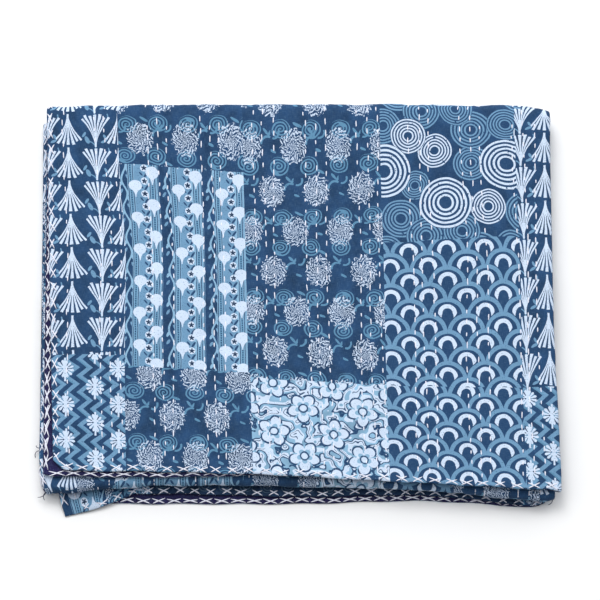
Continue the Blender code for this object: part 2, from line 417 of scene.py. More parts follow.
def stretches():
    """Each panel and fold in turn, with its start along the cloth and its length."""
    found, start = [], 0.0
    for panel in range(PANELS):
        length = stretch_length("panel", panel)
        found.append(("panel", panel, start, length))
        start += length
        if panel < PANELS - 1:
            length = stretch_length("fold", panel + 1)
            found.append(("fold", panel + 1, start, length))
            start += length
    return found


STRETCHES = stretches()
CLOTH_LENGTH = STRETCHES[-1][2] + STRETCHES[-1][3]
SHEET_WIDTH = sheet_width()
SIDE_FOLD_WIDTH = math.pi * SHEET_OFFSET
CLOTH_WIDTH = 2 * SHEET_WIDTH + SIDE_FOLD_WIDTH


def place_u(column):
    """Distance across the flat cloth, from the outer sheet's side hem."""
    if column <= 1:
        return column * SHEET_WIDTH
    if column <= 2:
        return SHEET_WIDTH + (column - 1) * SIDE_FOLD_WIDTH
    return SHEET_WIDTH + SIDE_FOLD_WIDTH + (column - 2) * SHEET_WIDTH


def column_at(u):
    if u <= SHEET_WIDTH:
        return u / SHEET_WIDTH
    if u <= SHEET_WIDTH + SIDE_FOLD_WIDTH:
        return 1 + (u - SHEET_WIDTH) / SIDE_FOLD_WIDTH
    return 2 + (u - SHEET_WIDTH - SIDE_FOLD_WIDTH) / SHEET_WIDTH


def place_v(station):
    """Distance along the flat cloth, from the top hem."""
    for kind, number, start, length in STRETCHES:
        if (kind, number) == station[:2]:
            return start + station[2] * length
    raise ValueError(station)


def station_at(v):
    v = min(max(v, 0.0), CLOTH_LENGTH)
    for kind, number, start, length in STRETCHES:
        if v <= start + length + 1e-9:
            return kind, number, min((v - start) / length, 1.0)
    raise ValueError(v)


def edge_distance(u, v):
    return min(u, CLOTH_WIDTH - u, v, CLOTH_LENGTH - v)


def thickness_share(u, v):
    """The cloth's thickness: whole in its hems, less inside them, and rounded off at its edge."""
    inside = edge_distance(u, v)
    for (near, thin), (far, thick) in zip(EDGE_STEPS, EDGE_STEPS[1:]):
        if inside < far:
            return mix(thin, thick, (inside - near) / (far - near))
    return mix(1.0, INNER_THICKNESS, smooth((inside - HEM_WIDTH + 0.001) / 0.002))


def row_near(u):
    """The number of the nearest row of stitches, and how far it is."""
    group = math.floor((u - GROUP_START) / GROUP_PITCH + 0.5)
    across = u - GROUP_START - group * GROUP_PITCH
    place = min(max(round(across / ROW_PITCH), -1), 1)
    return 3 * group + place, abs(across - place * ROW_PITCH)


def stitch_turn(row):
    """Where a row's stitches start, as a share of their pitch."""
    return (row * 0.618 + 0.21 * math.sin(row * 2.7)) % 1


def pucker(u, v):
    """How far the quilting lifts the cloth: down along each row and at each stitch, full between."""
    inside = smooth(edge_distance(u, v) / PUCKER_START)
    row, distance = row_near(u)
    ridge = RIDGE_HEIGHT * smooth(distance / RIDGE_REACH) - RIDGE_HEIGHT / 2
    near = math.exp(-((distance / GATHER_REACH) ** 2))
    gather = -GATHER * near * math.cos(2 * math.pi * (v / STITCH_PITCH - stitch_turn(row)))
    large, small, slow = (
        height * noise.noise(Vector((u / across, v / along_cloth, seed)))
        for height, across, along_cloth, seed in CRINKLES
    )
    return inside * (ridge + gather + (large + small)) + slow


# Building the cloth

def cuts_in(station, sheet):
    """How finely a sheet's columns are cut at a station."""
    kind, number, share = station
    if sheet == OUTER and kind == "panel" and number == 0:
        return TOP_CUTS
    if sheet == OUTER and (kind, number) in (("fold", 1), ("fold", 3)):
        return SHOWN_CUTS
    if (kind, number) == ("panel", 3) or (sheet == INNER and (kind, number) == ("fold", 2)):
        return SHOWN_CUTS
    return HIDDEN_CUTS


def sheet_columns(cuts):
    """Columns from a side hem, 0, to the side fold, 1, cell by cell. All have the same cells."""
    coarse = [place / COARSE_COLUMNS for place in range(COARSE_COLUMNS + 1)]
    edge = [step / SHEET_WIDTH for step, share in EDGE_STEPS]
    cells = [[start, finish] for start, finish in zip(edge, edge[1:])]
    cells.append([edge[-1], coarse[1]])
    cells += [[start, finish] for start, finish in zip(coarse[1:], coarse[2:])]
    first_cut = len(edge) - 1
    for number in range(first_cut, len(cells)):
        start, finish = cells[number]
        cells[number] = [mix(start, finish, cut / cuts) for cut in range(cuts + 1)]
    return cells


def cloth_columns(station):
    """Every column of a row, cell by cell, from the outer sheet's side hem to the inner sheet's."""
    outer = sheet_columns(cuts_in(station, OUTER))
    fold = [
        [1 + step / SIDE_FOLD_STEPS, 1 + (step + 1) / SIDE_FOLD_STEPS]
        for step in range(SIDE_FOLD_STEPS)
    ]
    inner = [
        [3 - column for column in reversed(cell)]
        for cell in reversed(sheet_columns(cuts_in(station, INNER)))
    ]
    return outer + fold + inner


def cloth_rows():
    """Every station that has a row of points."""
    rows = []
    for kind, number, start, length in STRETCHES:
        if kind == "fold":
            rows += [(kind, number, step / FOLD_STEPS) for step in range(1, FOLD_STEPS)]
            continue
        steps = {0: TOP_ROWS, PANELS - 1: BOTTOM_ROWS}.get(number, PANEL_ROWS)
        shares = [step / steps for step in range(steps + 1)]
        for seam in TOP_SEAMS if number == 0 else ():
            nearest = min(range(1, steps), key=lambda place: abs(shares[place] - seam))
            shares[nearest] = seam
        hem_steps = [step / length for step, share in EDGE_STEPS]
        if number == 0:
            shares = hem_steps + shares[1:]
        if number == PANELS - 1:
            shares = [share for share in shares if share < HEM_ZONE_SHARE]
            shares += [
                mix(HEM_ZONE_SHARE, 1.0, step / HEM_ZONE_ROWS) for step in range(HEM_ZONE_ROWS)
            ]
            shares += [1 - step for step in reversed(hem_steps)]
        rows += [(kind, number, share) for share in shares]
    return rows


def shown(station, column):
    sheet = OUTER if column <= 1.5 else INNER
    return cuts_in(station, sheet) > HIDDEN_CUTS


def raised_at(station, column):
    """How far the cloth is lifted by its quilting, where that shows. It is flat on the floor."""
    if not shown(station, column):
        return 0.0
    lifted = pucker(place_u(column), place_v(station))
    kind, number, share = station
    if number == PANELS - 1:
        pressed = min(lifted, 0.0) if column <= 1.5 else max(lifted, 0.0)
        return pressed if kind == "panel" else mix(lifted, pressed, share)
    return lifted


def add_row(mesh, station, flat_places):
    """Adds one row's points, and returns them cell by cell, each cell sharing its ends."""
    row, last = [], None
    v = place_v(station)
    for cell in cloth_columns(station):
        points = [] if last is None else [last]
        for column in cell[len(points):]:
            points.append(mesh.verts.new(cloth_point(station, column, raised_at(station, column))))
            flat_places.append((place_u(column), v, trimmed_v(station, column)))
        row.append(points)
        last = points[-1]
    return row


def add_faces(mesh, near, far):
    """Joins two rows, cell by cell: quads where both are cut alike, and one face where they aren't."""
    for here, there in zip(near, far):
        if len(here) == len(there):
            for step in range(len(here) - 1):
                mesh.faces.new((here[step], here[step + 1], there[step + 1], there[step]))
        else:
            mesh.faces.new(list(here) + list(reversed(there)))


def new_object(name, data, materials):
    for material in materials:
        data.materials.append(material)
    made = bpy.data.objects.new(name, data)
    bpy.context.scene.collection.objects.link(made)
    return made


def inner_slip(station):
    """How much further along itself the inner sheet is than the outer one."""
    kind, number, share = station
    turns = [-1 if end in FAR_ENDS else 1 for end in range(1, PANELS)]
    passed = sum(turns[: number if kind == "panel" else number - 1])
    if kind == "fold":
        passed += turns[number - 1] * share
    return passed * math.pi * 2 * SHEET_OFFSET


def trimmed_v(station, column):
    """Distance along the flat cloth, past what its rounded corners leave out."""
    kind, number, share = station
    v = place_v(station) + inner_slip(station) * min(max(column - 1, 0.0), 1.0)
    if kind == "panel" and number in (0, PANELS - 1):
        side = OUTER if column <= 1.5 else INNER
        end = 0 if number == 0 else PANELS
        x = cloth_point(station, column, 0.0).x
        drawn = at_end(corner_draw, end, x, side)
        v += drawn * corner_share(share) if end == 0 else -drawn * corner_share(1 - share)
    return v


def build_cloth(materials, patch_at):
    """The whole quilt as one sheet. patch_at gives a place's material number and its print's shift."""
    mesh = bmesh.new()
    flat_places = []
    rows = [add_row(mesh, station, flat_places) for station in cloth_rows()]
    for near, far in zip(rows, rows[1:]):
        add_faces(mesh, near, far)
    mesh.verts.index_update()
    flat = mesh.loops.layers.uv.new("flat_cloth")
    weights = mesh.verts.layers.deform.new()
    for face in mesh.faces:
        places = [flat_places[corner.vert.index] for corner in face.loops]
        middle_u = sum(place[0] for place in places) / len(places)
        middle_v = sum(place[1] for place in places) / len(places)
        number, shift_u, shift_v = patch_at(middle_u, middle_v)
        for corner, place in zip(face.loops, places):
            corner[flat].uv = (place[0] - shift_u, place[2] - shift_v)
        face.material_index = number
        face.smooth = True
    for vert in mesh.verts:
        vert[weights][0] = thickness_share(*flat_places[vert.index][:2])
    data = bpy.data.meshes.new("quilt_cloth")
    mesh.to_mesh(data)
    mesh.free()
    cloth = new_object("quilt_cloth", data, materials)
    cloth.vertex_groups.new(name="thickness")
    thickness = cloth.modifiers.new("cloth", "SOLIDIFY")
    thickness.thickness = CLOTH
    thickness.offset = 0.0
    thickness.use_even_offset = False
    thickness.use_rim = True
    thickness.vertex_group = "thickness"
    thickness.material_offset = len(materials)
    thickness.material_offset_rim = 0
    return cloth


# Threads

THREAD_SIDES = 6
THREAD_END = 0.55


class ThreadMesh:
    """Gathers many short lengths of thread into one mesh."""

    def __init__(self):
        self.points, self.faces = [], []

    def add(self, line, outs, half_width, half_height):
        """Adds a thread along a line of points. outs are the directions away from the cloth."""
        first, sides = len(self.points), THREAD_SIDES
        for place, (point, out) in enumerate(zip(line, outs)):
            before, after = line[max(place - 1, 0)], line[min(place + 1, len(line) - 1)]
            ahead = (after - before).normalized()
            beside = ahead.cross(out).normalized()
            up = beside.cross(ahead)
            slim = THREAD_END if place in (0, len(line) - 1) else 1.0
            for side in range(sides):
                angle = 2 * math.pi * side / sides
                self.points.append(
                    point
                    + beside * (half_width * slim * math.cos(angle))
                    + up * (half_height * slim * math.sin(angle))
                )
        for ring in range(len(line) - 1):
            for side in range(sides):
                here = first + ring * sides + side
                beside = first + ring * sides + (side + 1) % sides
                self.faces.append((here, beside, beside + sides, here + sides))
        last = first + (len(line) - 1) * sides
        self.faces.append(tuple(first + side for side in reversed(range(sides))))
        self.faces.append(tuple(last + side for side in range(sides)))

    def build(self, name, material):
        data = bpy.data.meshes.new(name)
        data.from_pydata([tuple(point) for point in self.points], [], self.faces)
        data.polygons.foreach_set("use_smooth", [True] * len(self.faces))
        return new_object(name, data, [material])


PRINT_SIDE, BACKING_SIDE = 1.0, -1.0


def on_cloth(u, v, cloth_side, height):
    """A point at a height over one side of the cloth."""
    station, column = station_at(v), column_at(u)
    middle = raised_at(station, column)
    face = cloth_side * (thickness_share(u, v) * CLOTH / 2 + height)
    return cloth_point(station, column, middle + face)


THREAD_POINTS = 5
THREAD_SINK = 0.00035
OUT_STEP = 0.0005


def lay_thread(threads, start, finish, cloth_side, rise, bend=0.0):
    """Lays a thread from one (u, v) to another, with its ends in the cloth and its middle on it."""
    line, outs = [], []
    long_u, long_v = finish[0] - start[0], finish[1] - start[1]
    for step in range(THREAD_POINTS):
        share = step / (THREAD_POINTS - 1)
        aside = bend * math.sin(math.pi * share)
        u = start[0] + long_u * share - long_v * aside
        v = start[1] + long_v * share + long_u * aside
        height = rise * math.sin(math.pi * share) ** 0.5 - THREAD_SINK
        line.append(on_cloth(u, v, cloth_side, height))
        outs.append((on_cloth(u, v, cloth_side, height + OUT_STEP) - line[-1]).normalized())
        line[-1].z = max(line[-1].z, THREAD_HALF_HEIGHT)
    threads.add(line, outs, THREAD_HALF_WIDTH, THREAD_HALF_HEIGHT)


def shown_stretches():
    """Stretches of the cloth whose print shows: the sheet, and both ends along the cloth."""
    found = []
    for kind, number, start, length in STRETCHES:
        for sheet in (OUTER, INNER):
            if cuts_in((kind, number, 0.0), sheet) > HIDDEN_CUTS:
                spare = HEM_CLEAR if kind == "fold" else 0.0
                found.append((sheet, start - spare, start + length + spare))
    return found


# How far the running stitch stays from a hem
HEM_CLEAR = 0.012


def sew_rows(threads):
    """Running stitch, in rows along the cloth, wherever its print shows."""
    chance = random.Random(11)
    groups = math.floor(CLOTH_WIDTH / GROUP_PITCH) + 1
    for sheet, low, high in shown_stretches():
        first_u = HEM_CLEAR if sheet == OUTER else SHEET_WIDTH + SIDE_FOLD_WIDTH
        last_u = SHEET_WIDTH if sheet == OUTER else CLOTH_WIDTH - HEM_CLEAR
        for row in range(3 * groups + 2):
            group, place = (row + 1) // 3, (row + 1) % 3 - 1
            u = GROUP_START + group * GROUP_PITCH + place * ROW_PITCH
            if not first_u < u < last_u:
                continue
            turn = stitch_turn(row) - 0.5 * STITCH_LENGTH / STITCH_PITCH
            first = math.ceil(low / STITCH_PITCH - turn)
            last = math.floor(high / STITCH_PITCH - turn)
            drift = chance.uniform(0, 6.28)
            for number in range(first, last):
                v = (number + turn) * STITCH_PITCH + chance.gauss(0, 0.0010)
                length = STITCH_LENGTH * chance.uniform(0.66, 1.22)
                if v < HEM_CLEAR or v + length > CLOTH_LENGTH - HEM_CLEAR:
                    continue
                aside = 0.0016 * math.sin(v / 0.07 + drift) + chance.gauss(0, 0.0004)
                lean = chance.gauss(0, 0.0004)
                start = (u + aside, v)
                finish = (u + aside + lean, v + length)
                lay_thread(threads, start, finish, PRINT_SIDE, STITCH_RISE)


def hem_place(edge, distance, inset):
    """A place near one of the four edges, at a distance along it."""
    if edge == "top":
        return distance, inset
    if edge == "bottom":
        return distance, CLOTH_LENGTH - inset
    if edge == "outer_side":
        return inset, distance
    return CLOTH_WIDTH - inset, distance


HEM_START = 0.010
HEM_SPARE = 0.004
HEM_PITCH = 0.0236
CROSS_WIDTH = 0.0178
CROSS_LOW = 0.0003
CROSS_HIGH = 0.0095
BACKING_REACH = 0.85
STRAY_START = (0.0005, 0.0040)
STRAY_END = (0.0060, 0.0150)

# How high a thread's middle stands over the cloth, at most
STITCH_RISE = 0.00050
CROSSING_RISE = 0.00085
BACKING_RISE = 0.0006
STRAY_RISE = 0.0009


def sew_hems(threads):
    """Crosses along each hem on the print, and their zigzag on the backing."""
    chance = random.Random(23)
    lengths = {
        "top": CLOTH_WIDTH, "bottom": CLOTH_WIDTH,
        "outer_side": CLOTH_LENGTH, "inner_side": CLOTH_LENGTH,
    }
    for edge, length in lengths.items():
        distance = HEM_START
        while distance < length - CROSS_WIDTH - HEM_SPARE:
            wide = CROSS_WIDTH * chance.uniform(0.80, 1.14)
            low = CROSS_LOW + chance.uniform(-0.0004, 0.0010)
            high = CROSS_HIGH + chance.uniform(-0.0020, 0.0016)
            skew = chance.uniform(-0.0024, 0.0024)
            first = (hem_place(edge, distance, low), hem_place(edge, distance + wide, high))
            second = (
                hem_place(edge, distance + skew, high),
                hem_place(edge, distance + wide + skew, low),
            )
            lay_thread(threads, *first, PRINT_SIDE, STITCH_RISE)
            lay_thread(threads, *second, PRINT_SIDE, CROSSING_RISE)
            step = HEM_PITCH * chance.uniform(0.93, 1.07)
            back_high = high * BACKING_REACH
            for start_inset, finish_inset in ((low, back_high), (back_high, low)):
                start = hem_place(edge, distance, start_inset)
                finish = hem_place(edge, distance + step, finish_inset)
                lay_thread(threads, start, finish, BACKING_SIDE, BACKING_RISE)
            if edge in ("outer_side", "inner_side"):
                near = distance + chance.uniform(0.0, 0.012)
                start = hem_place(edge, near, chance.uniform(*STRAY_START))
                far = distance + chance.uniform(0.014, 0.030)
                finish = hem_place(edge, far, chance.uniform(*STRAY_END))
                bend = chance.uniform(-0.2, 0.2)
                lay_thread(threads, start, finish, BACKING_SIDE, STRAY_RISE, bend)
            distance += step


# Where a loose end leaves the cloth, its length, and its heading in degrees from +X towards +Y
LOOSE_COLUMNS = ("station", "column", "length", "heading", "curl")
LOOSE_ENDS = (
    (("panel", 2, 0.105), 3.0, 0.0130, 165, 2.2),
    (("panel", 2, 0.112), 0.0, 0.0105, 235, -2.6),
    (("fold", 2, 0.40), 3.0, 0.0120, 200, 1.8),
    (("fold", 2, 0.70), 3.0, 0.0140, 250, -1.5),
    (("panel", 2, 0.006), 0.02, 0.0110, 285, 2.4),
    (("fold", 2, 0.75), 2.0, 0.0120, 300, -2.0),
    (("panel", 3, 0.55), 0.0, 0.0100, 160, 2.0),
)
LOOSE_POINTS = 9


def hang_loose_ends(threads):
    """Short curved ends of navy thread that stick out of the hems and droop towards the floor."""
    for row in named_rows(LOOSE_COLUMNS, LOOSE_ENDS):
        heading = math.radians(row["heading"])
        step = row["length"] / (LOOSE_POINTS - 1)
        point = cloth_point(row["station"], row["column"], 0.0)
        line = [point]
        for number in range(1, LOOSE_POINTS):
            share = number / (LOOSE_POINTS - 1)
            turn = heading + row["curl"] * share
            point = point + Vector((math.cos(turn), math.sin(turn), 0.25 - 1.1 * share)) * step
            point.z = max(point.z, THREAD_HALF_HEIGHT)
            line.append(point)
        up = [Vector((0.1, 0.2, 1.0)).normalized()] * LOOSE_POINTS
        threads.add(line, up, THREAD_HALF_WIDTH * 0.6, THREAD_HALF_HEIGHT * 0.9)


# Colours, as linear red, green and blue

PAINTS = {
    "indigo": (0.0165, 0.055, 0.138),
    "deep": (0.011, 0.030, 0.075),
    "shade": (0.055, 0.095, 0.150),
    "dim": (0.105, 0.250, 0.400),
    "blue": (0.150, 0.300, 0.470),
    "sky": (0.250, 0.440, 0.620),
    "white": (0.600, 0.710, 0.870),
    "navy": (0.013, 0.009, 0.058),
}


class Value:
    """A number that varies over the cloth. Arithmetic on it makes shader nodes, and a comparison is
    1 where it holds and 0 elsewhere."""

    def __init__(self, tree, socket):
        self.tree, self.socket = tree, socket

    def combined(self, operation, *terms):
        node = self.tree.nodes.new("ShaderNodeMath")
        node.operation = operation
        for slot, term in zip(node.inputs, terms):
            if isinstance(term, Value):
                self.tree.links.new(term.socket, slot)
            else:
                slot.default_value = term
        return Value(self.tree, node.outputs[0])

    def __rsub__(self, other):
        return self.combined("SUBTRACT", other, self)


def add_operation(name, operation):
    setattr(Value, name, lambda value, *others: value.combined(operation, value, *others))


for method, math_operation in (
    ("__add__", "ADD"), ("__sub__", "SUBTRACT"), ("__mul__", "MULTIPLY"), ("__rmul__", "MULTIPLY"),
    ("__truediv__", "DIVIDE"), ("__pow__", "POWER"), ("__mod__", "FLOORED_MODULO"),
    ("__abs__", "ABSOLUTE"), ("__lt__", "LESS_THAN"), ("__gt__", "GREATER_THAN"),
    ("__and__", "MULTIPLY"), ("__or__", "MAXIMUM"), ("at_least", "MAXIMUM"), ("floor", "FLOOR"),
    ("sin", "SINE"), ("cos", "COSINE"), ("root", "SQRT"),
):
    add_operation(method, math_operation)


def angle_of(x, y):
    return x.combined("ARCTAN2", x, y)


def radius_of(x, y):
    return (x * x + y * y).root()


def cell(x, period):
    """x within the nearest of its repeats, from minus half a period to plus half."""
    return (x + period / 2) % period - period / 2


def between(x, low, high):
    return (x > low) & (x < high)


def turned(x, y, degrees):
    """x and y in axes turned anticlockwise."""
    across, up = math.cos(math.radians(degrees)), math.sin(math.radians(degrees))
    return x * across + y * up, y * across - x * up


def inside(x, y, half_x, half_y):
    """1 inside an ellipse."""
    return radius_of(x / half_x, y / half_y) < 1


def new_material(name):
    """A material, its node tree and its shader."""
    material = bpy.data.materials.new(name)
    material.use_nodes = True
    return material, material.node_tree, material.node_tree.nodes["Principled BSDF"]


def set_inputs(node, values):
    for name, value in values.items():
        node.inputs[name].default_value = value


def add_bump(tree, shader, height, distance):
    bump = tree.nodes.new("ShaderNodeBump")
    set_inputs(bump, {"Strength": 0.5, "Distance": distance})
    tree.links.new(height, bump.inputs["Height"])
    tree.links.new(bump.outputs[0], shader.inputs["Normal"])


class PrintTree:
    """One print's shader: its places on the cloth in millimetres, its noises, and its colours."""

    def __init__(self, name, wobble=0.9):
        self.material, self.tree, self.shader = new_material(name)
        self.flat = self.tree.nodes.new("ShaderNodeUVMap")
        self.flat.uv_map = "flat_cloth"
        self.exact_x, self.exact_y = self.split(self.flat.outputs[0])
        shift_x = (self.noise(0.055, 1.0, 3.0) - 0.5) * (2 * wobble)
        shift_y = (self.noise(0.055, 1.0, 8.0) - 0.5) * (2 * wobble)
        self.x = self.exact_x + shift_x
        self.y = self.exact_y + shift_y
        self.colour = None

    def split(self, socket):
        node = self.tree.nodes.new("ShaderNodeSeparateXYZ")
        self.tree.links.new(socket, node.inputs[0])
        return Value(self.tree, node.outputs[0]) * 1000.0, Value(self.tree, node.outputs[1]) * 1000.0

    def noise(self, scale, stretch, seed, detail=1.0):
        """Noise from 0 to 1. scale is in features a millimetre, and stretch slows it along y."""
        place = self.tree.nodes.new("ShaderNodeCombineXYZ")
        self.tree.links.new((self.exact_x * scale).socket, place.inputs[0])
        self.tree.links.new((self.exact_y * (scale / stretch)).socket, place.inputs[1])
        place.inputs[2].default_value = seed
        node = self.tree.nodes.new("ShaderNodeTexNoise")
        set_inputs(node, {"Scale": 1.0, "Detail": detail})
        self.tree.links.new(place.outputs[0], node.inputs["Vector"])
        return Value(self.tree, node.outputs[0])

    def mixed(self, share, first, second):
        node = self.tree.nodes.new("ShaderNodeMix")
        node.data_type = "RGBA"
        node.clamp_factor = True
        for slot, item in ((node.inputs[0], share), (node.inputs[6], first), (node.inputs[7], second)):
            if isinstance(item, Value):
                self.tree.links.new(item.socket, slot)
            elif hasattr(item, "is_output"):
                self.tree.links.new(item, slot)
            elif isinstance(item, tuple):
                slot.default_value = (*item, 1.0)
            else:
                slot.default_value = item
        return node.outputs[2]

    def paint(self, mask, paint):
        """Prints a colour where the mask is 1, over what is there. The block leaves small bare flecks."""
        self.colour = self.mixed(mask * self.ink, self.colour, PAINTS[paint])

    def leaf(self, x, y, degrees, half_x, half_y, paint):
        self.paint(inside(*turned(x, y, degrees), half_x, half_y), paint)

    def ground(self, paint):
        self.ink = 1.0 - (self.noise(0.55, 1.0, 5.0, 2.0) > 0.63) * 0.55
        shade = self.noise(0.045, 1.4, 2.0, 3.0)
        darker = tuple(part * 0.50 for part in PAINTS[paint])
        lighter = tuple(part * 1.40 for part in PAINTS[paint])
        self.colour = self.mixed(shade * 1.5 - 0.25, darker, lighter)

    def finished(self, roughness=0.86):
        """Adds the weave and the wear, and sets the shader."""
        along_threads = self.noise(1.9, 14.0, 6.0)
        across_threads = self.noise(0.14, 0.075, 9.0)
        weave = along_threads + across_threads
        faded = self.mixed((weave - 1.0) * 0.34 + 0.01, self.colour, PAINTS["sky"])
        self.tree.links.new(faded, self.shader.inputs["Base Color"])
        add_bump(self.tree, self.shader, weave.socket, 0.00035)
        set_inputs(self.shader, {
            "Roughness": roughness, "Sheen Weight": 0.04, "Sheen Roughness": 0.5,
            "Specular IOR Level": 0.12,
        })
        return self.material


# The prints

FAN_PITCH = 52.5
FAN_COLUMNS = 74.0
DOWN_FAN = (31.0, 49.5)
UP_FAN = (71.5, 49.1)


def fan(x, y, width, power, tall, droop):
    """A ginkgo leaf of seven narrow petals, which opens towards +y from its stem at 0, 0."""
    rise = (y / tall).at_least(0.0)
    spread = (rise ** power) * width + 1.4
    across = x / spread
    number = (across * 3.5 + 0.5).floor()
    half_petal = (rise ** 1.8) * 1.9 + 0.42
    petals = (abs(cell(across, 2 / 7)) * spread < half_petal) & (abs(across) < 1.0)
    tips = between(y, 0.0, tall - droop * (across * across) + (number * 2.4).sin() * 1.5)
    stem = (abs(x) < 1.4) & between(y, -6.0, 18.0)
    return (petals & tips) | stem


def curl(x, y, size, width, turn):
    """A curved leaf stalk: part of a ring."""
    ring = abs(radius_of(x, y) - size) < width
    return ring & (abs(cell(angle_of(x, y) - turn, 6.2832)) < 1.15)


def ginkgo_print():
    p = PrintTree("ginkgo_print")
    p.ground("indigo")
    down_x, down_y = cell(p.x - DOWN_FAN[0], FAN_COLUMNS), cell(p.y - DOWN_FAN[1], FAN_PITCH)
    up_x, up_y = cell(p.x - UP_FAN[0], FAN_COLUMNS), cell(p.y - UP_FAN[1], FAN_PITCH)
    base = cell(up_y + 22.0 - FAN_PITCH / 4, FAN_PITCH) + FAN_PITCH / 4
    p.paint(curl(up_x + 11.0, base + 7.0, 11.0, 0.8, 0.9), "blue")
    p.paint(curl(up_x - 9.0, base + 9.0, 10.0, 0.8, 2.3), "blue")
    p.leaf(up_x + 12.5, base - 6.5, 24, 3.0, 6.2, "blue")
    p.leaf(up_x + 17.0, base - 15.0, -32, 2.0, 4.6, "blue")
    p.leaf(up_x - 12.0, base - 5.0, -62, 2.0, 5.2, "blue")
    p.leaf(up_x - 13.5, base - 12.0, 28, 1.9, 4.2, "blue")
    p.paint(fan(down_x, 23.0 - down_y, 27.4, 1.70, 45.0, 9.5), "white")
    p.paint(fan(up_x, up_y + 22.0, 26.0, 1.60, 46.0, 6.5), "white")
    return p.finished()


def sprig(x, y):
    """A leafy sprig: a burst of twelve leaflets round a stem, with two small eyes."""
    radius = radius_of(x / 12.0, y / 13.4)
    leaflets = abs((angle_of(x, y) * 6.0).sin())
    uneven = (angle_of(x, y) * 2.0 + 0.7).sin() * 0.07
    gaps = (leaflets < 0.50) * (radius > 0.40)
    leaves = (radius + uneven < leaflets * 0.30 + 0.74) & (1.0 - gaps)
    eyes = radius_of(abs(x) - 3.5, y) < 1.25
    stem = (abs(x) < 1.3) & between(y, -19.0, 16.5)
    return (leaves & (1.0 - eyes)) | stem


CHEVRON_TOOTH = 24.9
CHEVRON_BAND = 18.6
SPRIG_COLUMNS = 75.0
SPRIG_PITCH = 53.6
NEAR_SPRIG = (19.3, 46.0)
FAR_SPRIG = (61.4, 18.0)


def chevron_print():
    p = PrintTree("chevron_print")
    p.ground("indigo")
    zigzag = abs(cell(p.y - 4.8, CHEVRON_TOOTH)) * 1.19
    band = (p.x - 12.5 + zigzag) % CHEVRON_BAND
    p.paint(band < 9.0, "blue")
    p.paint(between(band, 0.0, 3.4) & (cell(p.y - 4.8, CHEVRON_TOOTH) > 0.0), "dim")
    for column, row in (NEAR_SPRIG, FAR_SPRIG):
        p.paint(sprig(cell(p.x - column, SPRIG_COLUMNS), cell(p.y - row, SPRIG_PITCH)), "white")
    return p.finished()


STRIPE = 61.5
VINE_PLACE = 48.0
DROP_PITCH = 49.5
STAR_PITCH = 20.0


def drop(x, y, half_x, half_y):
    """A drop that hangs with its tail down."""
    low = half_y * 2.15
    taper = (y / low + 1.0).at_least(0.0) ** 1.9
    tail = (abs(x) < taper * half_x + 0.6) & between(y, -low, 0.0)
    return inside(x, y, half_x, half_y) | tail


def ladder(p, x):
    """A narrow band between two dark lines, with dark dots along its middle."""
    p.paint(abs(x) < 4.8, "sky")
    p.paint(between(abs(x), 2.7, 4.0), "indigo")
    p.paint(abs(x) < 1.7, "dim")
    p.paint((abs(x) < 0.9) & (p.y % 3.6 < 1.8), "indigo")


def stripe_print():
    p = PrintTree("stripe_print")
    p.ground("indigo")
    place = (p.x - VINE_PLACE) % STRIPE
    p.paint(between(place, 5.8, 49.0), "blue")
    p.paint(between(place, 32.5, 35.4), "sky")
    p.paint(between(place, 45.6, 46.8), "sky")
    p.paint(between(place, 47.2, 48.3), "indigo")
    near = cell(p.x - VINE_PLACE, STRIPE)
    vine = near - (p.y / 7.3).sin() * 3.6
    p.paint(abs(vine) < 1.35, "sky")
    p.leaf(near - 4.6, cell(p.y - 3.0, 46.0), 24, 1.9, 4.8, "sky")
    p.leaf(near + 5.0, cell(p.y - 14.0, 46.0), -28, 1.8, 4.4, "blue")
    p.leaf(near + 4.6, cell(p.y - 26.0, 46.0), -24, 1.9, 4.8, "sky")
    p.leaf(near - 5.0, cell(p.y - 37.0, 46.0), 28, 1.8, 4.4, "blue")
    ladder(p, place - 9.6)
    ladder(p, place - 40.0)
    star_x, star_y = place - 28.6, cell(p.y - 5.5, STAR_PITCH)
    between_y = cell(p.y - 5.5 - STAR_PITCH / 2, STAR_PITCH)
    p.leaf(star_x - 2.6, between_y, -34, 1.6, 5.4, "indigo")
    p.leaf(star_x + 4.4, between_y - 1.0, 38, 1.3, 3.6, "indigo")
    p.paint(inside(star_x, star_y, 5.1, 5.4), "white")
    point = radius_of(star_x, star_y) < (angle_of(star_x, star_y) * 5.0).cos() * 1.1 + 3.1
    p.paint(point, "deep")
    p.paint(drop(place - 15.6, cell(p.y - 41.5, DROP_PITCH), 9.2, 8.4), "white")
    p.paint(drop(place - 40.0, cell(p.y - 13.7, DROP_PITCH), 9.4, 8.8), "white")
    return p.finished()


FLOWER_ACROSS = 64.0
FLOWER_ROWS = 62.0
FLOWER_PLACE = (31.0, 8.0)
SCROLL_PITCH = FLOWER_ACROSS * 2 / 3


def scroll(x, y, size):
    """A round scroll of thin rings, open on one side."""
    radius = radius_of(x, y * 1.12)
    rings = (radius + angle_of(x, y) * 0.72) % 4.5 < 2.2
    return rings & (radius < size)


def chrysanthemum(p, x, y, half_x, half_y):
    """A scratchy flower of many thin petals, in rings that wander."""
    scratch = p.noise(0.20, 1.0, 31.0, 2.0) - 0.5
    angle = angle_of(x, y)
    radius = radius_of(x / half_x, y / half_y)
    petals = abs((angle * 5.5 + scratch * 3.0).sin())
    lines = (radius * 4.2 + petals * 0.75 + scratch * 2.6) % 1 < 0.47
    ragged = radius + scratch * 0.45 < abs((angle * 9.0).sin()) * 0.20 + 0.86
    veins = (angle * 4.0 + scratch * 3.0) % 0.62 < 0.11
    return ragged & lines & (1.0 - veins)


